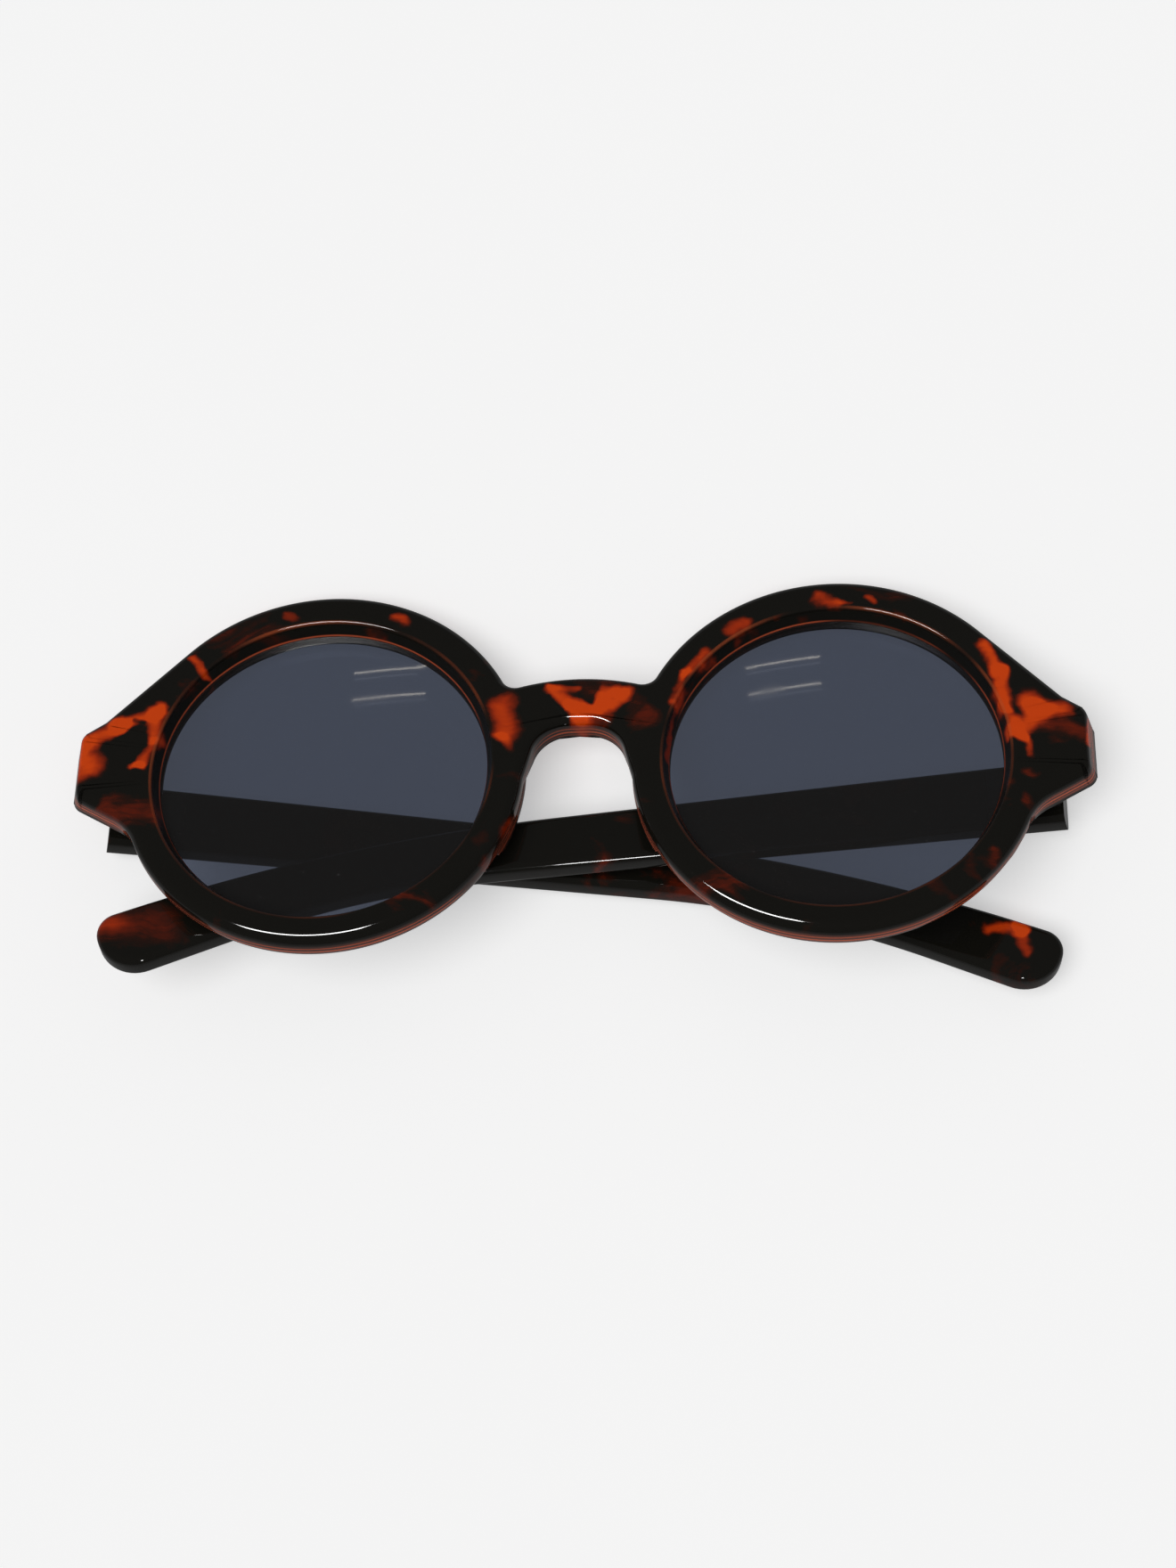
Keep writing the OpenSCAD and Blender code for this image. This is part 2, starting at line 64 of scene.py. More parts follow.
# the wall's levels: one between the rounded edge and the parting line, and the parting line
WALL_Z = -2.2
PARTING_Z = -3.0
DRAFT = 0.4

# Lenses and their openings
OPENING_R = 24.1
MOUTH_ROUND = 0.4
SEAT_R = 23.2
LENS_DEPTH = 2.4
LENS_T = 1.6
LENS_R = 180.0
LENS_GAP = 0.03
RIDGE_Z = -LENS_DEPTH - LENS_T / 2
RIDGE_HIGH = 1.0
RIDGE_HALF = 0.5

# Bridge
ARCH_R = 33.0
ARCH_TOP = 13.7
BRIDGE_ROUND = 1.2
BRIDGE_FILLET = 2.2
NOSE_R = 5.5
NOSE_C = np.array([1.2, 0.7])
NOSE_FLARE = 15.0

# End pieces
END_T = 4.8
END_ROUND = 1.0
END_LEAN = 17.0
SHOULDER_AT = 44.0
SHOULDER_SLOPE = 46.0
LEDGE_X = 67.6
LEDGE_SLOPE = 34.0
END_X = 70.8
END_LOW_Y = -3.9
UNDER_SLOPE = 30.0
UNDER_HOLLOW_R = 8.0
CORNER_R = 2.2
SHARPEST_CORNER_R = 0.8
# where the back steps up to the end piece's thickness
STEP_X = 59.2
STEP_LONG = 1.0

# Nose pads
BEAD_R = 2.3
BEAD_PROUD = 0.5
BEAD_Z = -4.2
BEAD_SPAN = 18.2
BEAD_TURN = 10.0
SWELL_R = 16.0
SWELL_Z = 9.5

# Hinges and temples
HINGE_X = 66.00747
HINGE_Y = -1.4
HINGE_Z = -7.3
FOLD_LEFT = 1.5
FOLD_RIGHT = -3.2
TEMPLE_HIGH = 10.0
TEMPLE_REACH = 132.6
TEMPLE_OFF = 2.0
TEMPLE_T = 4.0
TEMPLE_ROUND = 1.2
MITRE_X = -2.4
MITRE_LEAN = 13.0

# A temple's long edge: its slope at the hinge, where its straight ends, the bend's radius and angle,
# the radius of the tip's corner, and a side of 1 for the top edge or -1 for the bottom one.
Edge = namedtuple("Edge", "slope straight bend_r bend corner_r side")
TOP_EDGE = Edge(6.7, 70.0, 260.0, 13.2, 3.2, 1)
LOW_EDGE = Edge(5.3, 76.0, 140.0, 16.5, 5.4, -1)
TIP_SLOPE = (TOP_EDGE.slope + TOP_EDGE.bend + LOW_EDGE.slope + LOW_EDGE.bend) / 2

# How the front's axes lie in the row frame: the front leans on its folded temples.
LAY = np.array([[0.99992351, 0.00422364, -0.01162473],
                [0.0, 0.93988524, 0.34149046],
                [0.01236824, -0.34146434, 0.93981335]])
LIFT = np.array([-0.06, 2.9, 14.20111])


def laid(points):
    """Points in the front's axes, in mm, turned by LAY, lifted by LIFT and told in metres."""
    return (np.asarray(points, float) @ LAY.T + LIFT) * 0.001


def at_hinge(points, side):
    """Points in a temple's own axes turned by its fold and moved to its pin: the left temple folds past
    flat and the right one stays short of it, so that the left lies over the right."""
    turn = math.radians(FOLD_LEFT if side > 0 else FOLD_RIGHT)
    x, y, z = -points[..., 0], points[..., 1], points[..., 2]
    across = HINGE_X + x * math.cos(turn) + z * math.sin(turn)
    out = HINGE_Z - x * math.sin(turn) + z * math.cos(turn)
    return np.stack([side * across, y, out], axis=-1)


# Making meshes

def grid_quads(rows, columns, close_rows=False, close_columns=False):
    """Corner numbers of the quads of a grid whose vertices are numbered row by row."""
    r = np.arange(rows if close_rows else rows - 1)
    c = np.arange(columns if close_columns else columns - 1)
    r, c = np.meshgrid(r, c, indexing="ij")
    up, right = (r + 1) % rows, (c + 1) % columns
    corners = [r * columns + c, up * columns + c, up * columns + right, r * columns + right]
    return np.stack(corners, axis=-1)


MERGE_WITHIN = 2e-6
NO_LENGTH = 1e-7


def make_piece(name, points, quads, body, node, caps=(), sharp=32.0):
    """A closed mesh from points in the front's axes, in mm, quads and end caps.

    Doubles are merged, faces turned outward, and edges over the sharp angle in degrees kept crisp.
    It rides on body and stands for node, if one is given."""
    mesh = bpy.data.meshes.new(name)
    faces = quads.reshape(-1, 4).tolist() + [list(c) for c in caps]
    mesh.from_pydata(laid(points.reshape(-1, 3)), [], faces)
    work = bmesh.new()
    work.from_mesh(mesh)
    bmesh.ops.remove_doubles(work, verts=work.verts, dist=MERGE_WITHIN)
    bmesh.ops.dissolve_degenerate(work, dist=NO_LENGTH, edges=work.edges)
    bmesh.ops.recalc_face_normals(work, faces=work.faces)
    work.to_mesh(mesh)
    work.free()
    mesh.polygons.foreach_set("use_smooth", np.ones(len(mesh.polygons), bool))
    mesh.set_sharp_from_angle(angle=math.radians(sharp))
    piece = bpy.data.objects.new(name, mesh)
    bpy.context.scene.collection.objects.link(piece)
    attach(piece, body)
    if node:
        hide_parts(node)
    return piece


def unit(v):
    return v / np.linalg.norm(v)


def towards(angle):
    """The unit vector at an angle in radians from X."""
    return np.array([math.cos(angle), math.sin(angle)])


def bearing(c, p):
    return math.atan2(p[1] - c[1], p[0] - c[0])


def ray_to_circle(p, way, c, r):
    """The first point of the ray from p along way that lies at distance r from c."""
    q = p - c
    b = q @ way
    return p + (-b - math.sqrt(b * b - q @ q + r * r)) * way


def arc(c, r, start, end, steps, hollow=False):
    """Points at radius r from c as the angle runs from start to end, with their outward normals."""
    angle = np.linspace(start, end, steps)
    ray = np.stack([np.cos(angle), np.sin(angle)], axis=-1)
    return c + r * ray, -ray if hollow else ray


def straight(p, q, steps):
    """Points evenly from p to q, with the normal on the left of the way."""
    t = np.linspace(0, 1, steps)[:, None]
    way = unit(q - p)
    return p + t * (q - p), np.tile([-way[1], way[0]], (steps, 1))


# The front: one edge profile carried round each half's outline

def half_outline():
    """The left half's outer edge, from the bridge's top round the end piece and the rim to its underside.

    Arcs and straights of the part, end to end. Each point has a normal, the rounding of its front
    edge, its draft behind the parting line, and 1 where it lies on the leaning outer wall. The last
    value counts the points up to each corner of the end piece."""
    # the fillet's middle lies its own radius outside both the arch and the rim
    arch_c = np.array([0.0, ARCH_TOP - ARCH_R])
    between = np.linalg.norm(RIM_C - arch_c)
    from_arch, from_rim = ARCH_R + BRIDGE_FILLET, RIM_R + BRIDGE_FILLET
    along = (from_arch ** 2 - from_rim ** 2 + between ** 2) / (2 * between)
    u = (RIM_C - arch_c) / between
    fillet_c = arch_c + along * u + math.sqrt(from_arch ** 2 - along ** 2) * np.array([-u[1], u[0]])

    shoulder_way = math.radians(SHOULDER_AT)
    shoulder = RIM_C + RIM_R * towards(shoulder_way)
    ledge_y = shoulder[1] - (LEDGE_X - shoulder[0]) * math.tan(math.radians(SHOULDER_SLOPE))
    ledge = np.array([LEDGE_X, ledge_y])
    top_corner = np.array([END_X, ledge_y - (END_X - LEDGE_X) * math.tan(math.radians(LEDGE_SLOPE))])
    low_corner = np.array([END_X, END_LOW_Y])
    under_way = towards(math.radians(180 + UNDER_SLOPE))
    under_out = towards(math.radians(UNDER_SLOPE - 90))
    hollow_start = math.radians(UNDER_SLOPE + 90)
    hollow_from = low_corner + UNDER_HOLLOW_R * under_out
    hollow_c = ray_to_circle(hollow_from, under_way, RIM_C, RIM_R + UNDER_HOLLOW_R)
    under_end = hollow_c - UNDER_HOLLOW_R * under_out

    flare = math.radians(NOSE_FLARE)
    nose_side = NOSE_C + NOSE_R * towards(flare)
    web_foot = ray_to_circle(nose_side, towards(flare - math.pi / 2), RIM_C, RIM_R)
    foot_angle = bearing(RIM_C, web_foot)
    if foot_angle > 0:
        foot_angle -= 2 * math.pi
    nose_top = NOSE_C + [0, NOSE_R]

    # each run: points and normals, rounding at its start and end, draft at its start and end, wall
    runs = [
        (arc(arch_c, ARCH_R, math.pi / 2, bearing(arch_c, fillet_c), 14),
         BRIDGE_ROUND, BRIDGE_ROUND, 0, 0, 0),
        (arc(fillet_c, BRIDGE_FILLET, bearing(fillet_c, arch_c), bearing(fillet_c, RIM_C), 12, True),
         BRIDGE_ROUND, RIM_ROUND, 0, DRAFT, 0),
        (arc(RIM_C, RIM_R, bearing(RIM_C, fillet_c), shoulder_way, 90),
         RIM_ROUND, RIM_ROUND, DRAFT, DRAFT, 0),
        (straight(shoulder, ledge, 24), RIM_ROUND, RIM_ROUND, DRAFT, 0, 0),
        (straight(ledge, top_corner, 8), RIM_ROUND, RIM_ROUND, 0, 0, 0),
        (straight(top_corner, low_corner, 8), END_ROUND, END_ROUND, 0, 0, 1),
        (straight(low_corner, under_end, 16), RIM_ROUND, RIM_ROUND, 0, 0, 0),
        (arc(hollow_c, UNDER_HOLLOW_R, hollow_start, bearing(hollow_c, RIM_C), 12, True),
         RIM_ROUND, RIM_ROUND, 0, DRAFT, 0),
        (arc(RIM_C, RIM_R, bearing(RIM_C, hollow_c), foot_angle, 120),
         RIM_ROUND, RIM_ROUND, DRAFT, DRAFT, 0),
        (straight(web_foot, nose_side, 6), RIM_ROUND, BRIDGE_ROUND, DRAFT, 0, 0),
        (arc(NOSE_C, NOSE_R, flare, math.pi / 2, 18, True), BRIDGE_ROUND, BRIDGE_ROUND, 0, 0, 0),
        (straight(nose_top, nose_top * [0, 1], 3), BRIDGE_ROUND, BRIDGE_ROUND, 0, 0, 0),
    ]
    points = np.concatenate([run[0][0] for run in runs])
    normals = np.concatenate([run[0][1] for run in runs])
    counts = [len(run[0][0]) for run in runs]
    rounding = np.concatenate([np.linspace(run[1], run[2], n) for run, n in zip(runs, counts)])
    draft = np.concatenate([np.linspace(run[3], run[4], n) for run, n in zip(runs, counts)])
    wall = np.concatenate([np.full(n, float(run[5])) for run, n in zip(runs, counts)])
    # the end piece's straights, runs 3 to 6, meet in three corners
    corners = np.cumsum(counts)[3:6]
    return points, normals, rounding, draft, wall, corners


def edge_shift(z, rounding, draft, wall, thick):
    """How far the outer surface lies outside the outline at depth z.

    The front edge is a quarter circle, the wall is straight down to the parting line and then draws
    in by the draft. The outer wall has its own smaller circle and then leans outward."""
    depth = np.clip(rounding + z, 0, rounding)
    plain = np.sqrt(np.maximum(rounding ** 2 - depth ** 2, 0)) - rounding
    plain = plain - draft * np.clip((PARTING_Z - z) / (PARTING_Z + thick), 0, 1)
    lean = math.radians(END_LEAN)
    top = -END_ROUND + END_ROUND * math.sin(lean)
    circle = np.sqrt(np.maximum(END_ROUND ** 2 - np.clip(END_ROUND + z, 0, END_ROUND) ** 2, 0)) - END_ROUND
    slope = END_ROUND * (math.cos(lean) - 1) + (top - z) * math.tan(lean)
    return np.where(wall > 0.5, np.where(z > top, circle, slope), plain)


def half_edge():
    """The left half's edge surface: each outline point by its levels, from the face down to the back.

    A corner between two straights is an arc that touches both shifted edges, level by level; it
    tightens towards the face, as a worn and polished corner does."""
    points, normals, rounding, draft, wall, corners = half_outline()
    thick = FRONT_T + (END_T - FRONT_T) * np.clip((points[:, 0] - STEP_X) / STEP_LONG, 0, 1)
    turns = np.linspace(0, math.pi / 2, 12)
    levels = np.concatenate([-RIM_ROUND * (1 - np.cos(turns)), [WALL_Z, PARTING_Z]])
    depth = np.concatenate([np.tile(levels, (len(points), 1)), -thick[:, None]], axis=1)
    shift = edge_shift(depth, rounding[:, None], draft[:, None], wall[:, None], thick[:, None])
    outer = points[:, None, :] + shift[..., None] * normals[:, None, :]

    turn = np.linspace(0, 1, 9)[:, None]
    for first in corners[::-1]:
        pair = [first - 1, first]
        lines = normals[pair]
        radius = np.clip(CORNER_R + shift[pair].mean(axis=0), SHARPEST_CORNER_R, CORNER_R)
        reach = np.sum(lines * points[pair], axis=1)[:, None] + shift[pair] - radius
        middle = np.linalg.solve(lines, reach).T
        ray = lines[0] + turn * (lines[1] - lines[0])
        ray = ray / np.linalg.norm(ray, axis=1, keepdims=True)
        bow = middle + radius[:, None] * ray[:, None, :]
        outer = np.concatenate([outer[:first - 1], bow, outer[first + 1:]])
        depth = np.concatenate([depth[:first - 1], np.tile(depth[first], (len(turn), 1)), depth[first + 1:]])
    return np.concatenate([outer, depth[..., None]], axis=-1)


def front_half():
    """One half of the front as a grid: outline points by the rows of its section.

    The rows run from the opening over the face, round the front edge, down the wall and back
    under to the opening, so that the section closes."""
    # the seam with the other half joins the bridge's underside to its top
    rows = half_edge()
    count = len(rows)
    seam = np.linspace(0, 1, 10)[1:-1, None, None]
    rows = np.concatenate([rows, rows[-1] + seam * (rows[0] - rows[-1])])
    plan = rows[:, 0, :2]
    angle = np.unwrap(np.arctan2(plan[:, 1], plan[:, 0] - LENS_X))
    angle = np.minimum.accumulate(angle)
    ray = np.stack([np.cos(angle), np.sin(angle)], axis=-1)
    centre = np.array([LENS_X, 0.0])

    def ring(r, z):
        flat = centre + r * ray
        return np.concatenate([flat, np.full((len(flat), 1), z)], axis=-1)[:, None, :]

    def between(a, b, part):
        return a + part * (b - a)

    # the opening's wall leans, and a small arc rounds its mouth
    wall_turn = math.atan2(LENS_DEPTH, OPENING_R - SEAT_R)
    mouth_r = OPENING_R + MOUTH_ROUND * math.tan(wall_turn / 2)
    mouth = ring(mouth_r, 0.0)
    lip = [ring(mouth_r - MOUTH_ROUND * math.sin(t), MOUTH_ROUND * (math.cos(t) - 1))
           for t in np.linspace(wall_turn, 0, 7)]
    seat = ring(SEAT_R, -LENS_DEPTH)
    groove = [ring(SEAT_R, RIDGE_Z - RIDGE_HALF), ring(SEAT_R + RIDGE_HIGH, RIDGE_Z),
              ring(SEAT_R, RIDGE_Z + RIDGE_HALF)]

    # the back steps down from the end piece's thickness to the rim's
    back, heel = rows[:, -1:], ring(SEAT_R, -FRONT_T)
    run = back[..., 0] - heel[..., 0]
    run = np.where(run > 0.1, run, 1e9)
    pad_end = np.clip((back[..., 0] - STEP_X - STEP_LONG) / run, 0.02, 0.9)[..., None]
    step_end = np.clip((back[..., 0] - STEP_X) / run, 0.05, 0.95)[..., None]
    pad = between(back, heel, pad_end)
    pad[..., 2:] = back[..., 2:]
    step = between(back, heel, step_end)
    step[..., 2] = -FRONT_T
    near_heel = between(back, heel, 0.97)
    near_heel[..., 2] = -FRONT_T

    face = [between(rows[:, :1], mouth, part) for part in (0.98, 0.5, 0.05)]
    section = np.concatenate([
        *face, rows, pad, step, near_heel, heel, *groove,
        seat, between(seat, lip[0], 0.06), between(seat, lip[0], 0.94), *lip,
    ], axis=1)
    quads = grid_quads(section.shape[0], section.shape[1], True, True)

    # inside the bridge the two halves are one body, so the wall's rows are left out there
    keep = np.ones(quads.shape[:2], bool)
    keep[count - 1:, len(face):len(face) + rows.shape[1] - 1] = False
    return section, quads[keep]


def make_front():
    """The half's grid and its mirror image, joined along the bridge's seam by merging doubles."""
    half, quads = front_half()
    other = half * [-1, 1, 1]
    points = np.concatenate([half.reshape(-1, 3), other.reshape(-1, 3)])
    shift = half.shape[0] * half.shape[1]
    both = np.concatenate([quads, quads[:, ::-1] + shift])
    return make_piece("front_shell", points, both, "front", "front_frame")


def make_nose_pad(side, name):
    """A bead along the rim: at each angle round the lens, rays from its middle line reach the bead's
    radius or the swelling's sphere, whichever is nearer."""
    middle = RIM_R - DRAFT - BEAD_R + BEAD_PROUD
    along = np.radians(np.linspace(-BEAD_SPAN, BEAD_SPAN, 40))[:, None]
    turn = np.linspace(0, 2 * math.pi, 33)[None, :-1]
    start = np.stack([middle * np.cos(along), middle * np.sin(along), np.full_like(along, BEAD_Z)], axis=-1)
    way = np.stack([np.cos(turn) * np.cos(along), np.cos(turn) * np.sin(along),
                    np.sin(turn) + 0 * along], axis=-1)
    from_ball = start - np.array([middle, 0, SWELL_Z])
    b = np.sum(from_ball * way, axis=-1)
    c = np.sum(from_ball ** 2, axis=-1) - SWELL_R ** 2
    reach = np.clip(-b + np.sqrt(np.maximum(b * b - c, 0)), 0, BEAD_R)
    bead = start + reach[..., None] * way
    a = math.radians(180 + BEAD_TURN)
    turned = np.stack([bead[..., 0] * math.cos(a) - bead[..., 1] * math.sin(a),
                       bead[..., 0] * math.sin(a) + bead[..., 1] * math.cos(a), bead[..., 2]], axis=-1)
    placed = (turned + [*RIM_C, 0]) * [side, 1, 1]
    rows, columns = placed.shape[:2]
    quads = grid_quads(rows, columns, False, True)
    ends = [range(columns), range((rows - 1) * columns, rows * columns)]
    return make_piece(name, placed, quads, "front", None, caps=ends, sharp=50)


# Lenses: a section turned about the lens's axis

def make_lens(side, node):
    """A section of (radius, depth) turned about the lens's axis: two long arcs, the edge and its ridge."""
    edge = SEAT_R - LENS_GAP
    ball_z = -LENS_DEPTH - math.sqrt(LENS_R ** 2 - SEAT_R ** 2)
    r = np.linspace(0, edge, 14)
    outer = np.stack([r, ball_z + np.sqrt(LENS_R ** 2 - r ** 2)], axis=-1)
    inner = np.stack([r, ball_z + np.sqrt((LENS_R - LENS_T) ** 2 - r ** 2)], axis=-1)
    ridge = [[edge, RIDGE_Z + RIDGE_HALF], [edge + RIDGE_HIGH, RIDGE_Z], [edge, RIDGE_Z - RIDGE_HALF]]
    section = np.concatenate([outer, ridge, inner[::-1]])
    turn = np.linspace(0, 2 * math.pi, 161)[:-1, None]
    points = np.stack([side * (LENS_X + section[:, 0] * np.cos(turn)), section[:, 0] * np.sin(turn),
                       section[:, 1] + 0 * turn], axis=-1)
    quads = grid_quads(points.shape[0], points.shape[1], True, False)
    return make_piece(node + "_tinted", points, quads, "front", node, sharp=25)


# Temples: a rounded section carried from the mitred end to the tip

def falling(slope):
    """The unit vector that runs from hinge to tip down a slope in radians."""
    return np.array([math.cos(slope), -math.sin(slope)])


def upright(slope):
    """The unit vector square to a slope in radians, upwards."""
    return np.array([math.sin(slope), math.cos(slope)])


LINE_STEPS = 16


def line(p, q, steps=LINE_STEPS):
    """Points evenly from p to q."""
    return p + np.linspace(0, 1, steps)[:, None] * (q - p)


def temple_edge(edge):
    """One long edge of a temple: straight, bend, straight, the tip's corner and the end face's middle.

    The straight starts 5 mm behind the pin. The bend is an arc that both straights touch, and the
    corner is an arc that touches the last straight and the end face."""
    slope, bend = math.radians(edge.slope), math.radians(edge.bend)
    last, tip = slope + bend, math.radians(TIP_SLOPE)
    end_way, last_way = falling(tip), falling(last)
    y_at_pin = HINGE_Y + edge.side * TEMPLE_HIGH / 2
    start = np.array([-5.0, y_at_pin + 5.0 * math.tan(slope)])
    bend_at = np.array([edge.straight, y_at_pin - edge.straight * math.tan(slope)])
    centre = bend_at - edge.bend_r * upright(slope)
    after = centre + edge.bend_r * upright(last)

    corner = after + (TEMPLE_REACH - after @ end_way) / (last_way @ end_way) * last_way
    inward = np.array([-end_way[1], end_way[0]]) * -edge.side
    spread = abs(-last_way[0] * inward[1] + last_way[1] * inward[0])
    corner_c = corner + edge.corner_r / spread * (inward - last_way)
    out = edge.side * upright(last)
    angle = np.linspace(math.atan2(out[1], out[0]), -tip, 14)
    round_ray = np.stack([np.cos(angle), np.sin(angle)], axis=-1)
    bends = np.linspace(slope, last, 30)
    bend_ray = np.stack([np.sin(bends), np.cos(bends)], axis=-1)
    middle = TEMPLE_REACH * end_way
    middle = middle + ((corner_c + edge.corner_r * end_way - middle) @ upright(tip)) * upright(tip)

    tip_line = line(after, corner_c + edge.corner_r * out)
    bow = centre + edge.bend_r * bend_ray
    points = np.concatenate([line(start, bend_at), bow, tip_line, corner_c + edge.corner_r * round_ray])
    first_out, last_out = np.tile(edge.side * upright(slope), (LINE_STEPS, 1)), np.tile(out, (LINE_STEPS, 1))
    normals = np.concatenate([first_out, edge.side * bend_ray, last_out, round_ray])
    return points, normals, middle


def cut_start(edge_rows, level, slope):
    """Slides an edge's first row along its slope onto the mitre's slanted plane."""
    cut = MITRE_X + (level + TEMPLE_OFF + TEMPLE_T) * math.tan(math.radians(MITRE_LEAN))
    slope = math.radians(slope)
    slide = (cut - edge_rows[0, :, 0]) / math.cos(slope)
    edge_rows[0] += slide[:, None] * falling(slope)


def make_temple(side, node):
    """A rounded rectangle between the top and the bottom edge, station by station.

    At each station the section runs down the top edge, across, up the bottom edge and back."""
    top, top_out, top_end = temple_edge(TOP_EDGE)
    low, low_out, low_end = temple_edge(LOW_EDGE)
    end_out = np.tile(falling(math.radians(TIP_SLOPE)), (4, 1))
    meet = (top_end + low_end) / 2
    top = np.concatenate([top, line(top_end, meet, 5)[1:]])
    low = np.concatenate([low, line(low_end, meet, 5)[1:]])
    top_out = np.concatenate([top_out, end_out])
    low_out = np.concatenate([low_out, end_out])

    turn = np.linspace(0, math.pi / 2, 8)
    inset = TEMPLE_ROUND * (np.sin(turn) - 1)
    drop = -TEMPLE_ROUND * (1 - np.cos(turn))
    shift = np.concatenate([inset, inset[::-1]])
    level = np.concatenate([drop, -TEMPLE_T - drop[::-1]]) - TEMPLE_OFF
    upper = top[:, None, :] + shift[:, None] * top_out[:, None, :]
    lower = low[:, None, :] + shift[::-1, None] * low_out[:, None, :]
    cut_start(upper, level, TOP_EDGE.slope)
    cut_start(lower, level[::-1], LOW_EDGE.slope)
    deep = np.tile(level, (len(top), 1))
    upper = np.concatenate([upper, deep[..., None]], axis=-1)
    lower = np.concatenate([lower, deep[:, ::-1, None]], axis=-1)

    def across(a, b, part):
        return (a + part * (b - a))[:, None, :]

    section = np.concatenate([
        upper, across(upper[:, -1], lower[:, 0], 0.04), across(upper[:, -1], lower[:, 0], 0.96),
        lower, across(lower[:, -1], upper[:, 0], 0.04), across(lower[:, -1], upper[:, 0], 0.96),
    ], axis=1)
    quads = grid_quads(section.shape[0], section.shape[1], False, True)
    return make_piece(node + "_arm", at_hinge(section, side), quads, node, node,
                      caps=[range(section.shape[1])])


front_shell = make_front()
nose_pads = [make_nose_pad(1, "nose_pad_left"), make_nose_pad(-1, "nose_pad_right")]
lenses = [make_lens(1, "lens_left"), make_lens(-1, "lens_right")]
temples = [make_temple(1, "temple_left"), make_temple(-1, "temple_right")]


# Finishes

class Socket:
    """A shader value that Python's own operators work on."""

    def __init__(self, finish, link):
        self.finish, self.link = finish, link

    def maths(self, operation, a, b=0.0):
        return self.finish.node("Math", {"operation": operation}, {0: a, 1: b})

    def __add__(self, other):
        return self.maths("ADD", self, other)

    def __mul__(self, other):
        return self.maths("MULTIPLY", self, other)

    def __sub__(self, other):
        return self.maths("SUBTRACT", self, other)

    def __rsub__(self, other):
        return self.maths("SUBTRACT", other, self)

    def __abs__(self):
        return self.maths("ABSOLUTE", self)

    def larger(self, other):
        return self.maths("MAXIMUM", self, other)

    __radd__, __rmul__ = __add__, __mul__


class Finish:
    """A material built from expressions. node() adds any node: its settings first, then its sockets."""

    def __init__(self, name):
        self.material = bpy.data.materials.new(name)
        self.material.use_nodes = True
        self.nodes = self.material.node_tree.nodes
        self.links = self.material.node_tree.links
        self.nodes.clear()
        self.place = self.node("TexCoord", {}, {}, "Object")

    def node(self, kind, settings, sockets, out=0):
        """Adds a node and returns its output out; a ramp's stops are a setting of their own."""
        node = self.nodes.new("ShaderNode" + kind)
        stops = settings.pop("stops", None)
        for key, value in settings.items():
            setattr(node, key, value)
        if stops:
            ramp = node.color_ramp.elements
            while len(ramp) < len(stops):
                ramp.new(0.5)
            for element, (at, colour) in zip(ramp, stops):
                element.position, element.color = at, (*colour, 1)
        for key, value in sockets.items():
            if isinstance(value, Socket):
                self.links.new(value.link, node.inputs[key])
            else:
                node.inputs[key].default_value = value
        return Socket(self, node.outputs[out]) if node.outputs else None

    def vector(self, operation, a, b=(0, 0, 0), out="Vector"):
        return self.node("VectorMath", {"operation": operation}, {0: a, 1: b}, out)

    def scaled(self, vector, share):
        return self.node("VectorMath", {"operation": "SCALE"}, {0: vector, "Scale": share}, "Vector")

    def noise(self, scale, detail=3.0, distortion=0.0, place=None, out="Fac"):
        sockets = {"Vector": place or self.place, "Scale": scale, "Detail": detail, "Distortion": distortion}
        return self.node("TexNoise", {}, sockets, out)

    def smooth(self, value, low, high):
        """0 below low, 1 above high and an S curve between them."""
        return self.node("MapRange", {"interpolation_type": "SMOOTHSTEP"},
                         {"Value": value, "From Min": low, "From Max": high})

    def mix(self, share, a, b):
        """Colour a where share is 0, colour b where it is 1."""
        return self.node("Mix", {"data_type": "RGBA"}, {0: share, 6: a, 7: b}, 2)

    def front_axes(self, place):
        """A place, in metres, told along the front's own axes, in mm."""
        lift = LIFT @ LAY
        return [self.vector("DOT_PRODUCT", place, tuple(LAY[:, k]), "Value") * 1000.0 - float(lift[k])
                for k in range(3)]

    def ramp(self, value, stops):
        return self.node("ValToRGB", {"stops": stops}, {0: value}, "Color")

    def surface(self, **sockets):
        named = {key.replace("_", " "): value for key, value in sockets.items()}
        shader = self.node("BsdfPrincipled", {}, named)
        self.node("OutputMaterial", {}, {"Surface": shader})
        return self.material


STREAK_Z = -0.5


def clouds(finish, flat, streaks):
    """The sum of soft streaks at a place: each falls along an S curve with the distance from its line,
    to half its strength at its radius, so streaks that meet flow together."""
    field = None
    for x0, y0, x1, y1, r, strength in streaks:
        start, run = np.array([x0, y0, STREAK_Z]), np.array([x1 - x0, y1 - y0, 0.0])
        away = finish.vector("SUBTRACT", flat, tuple(start))
        length_squared = run @ run
        if length_squared > 0:
            along = finish.vector("DOT_PRODUCT", away, tuple(run / length_squared), "Value")
            along = finish.node("Clamp", {}, {"Value": along})
            away = finish.vector("SUBTRACT", away, finish.scaled(tuple(run), along))
        gap = finish.vector("LENGTH", away, out="Value")
        part = finish.smooth(gap, 1.85 * r, 0.15 * r)
        part = part * strength if strength != 1 else part
        field = part if field is None else field + part
    return field


# The plastic's colours, from its near-black body to its brightest amber
DARK = (0.005, 0.0046, 0.0035)
BROWN = (0.02, 0.0048, 0.0025)
RED = (0.1, 0.0095, 0.0025)
AMBER = (0.27, 0.021, 0.003)
HONEY = (0.5, 0.045, 0.003)
SHELL = [(0.0, DARK), (0.2, DARK), (0.34, BROWN), (0.5, RED), (0.72, AMBER), (1.0, HONEY)]

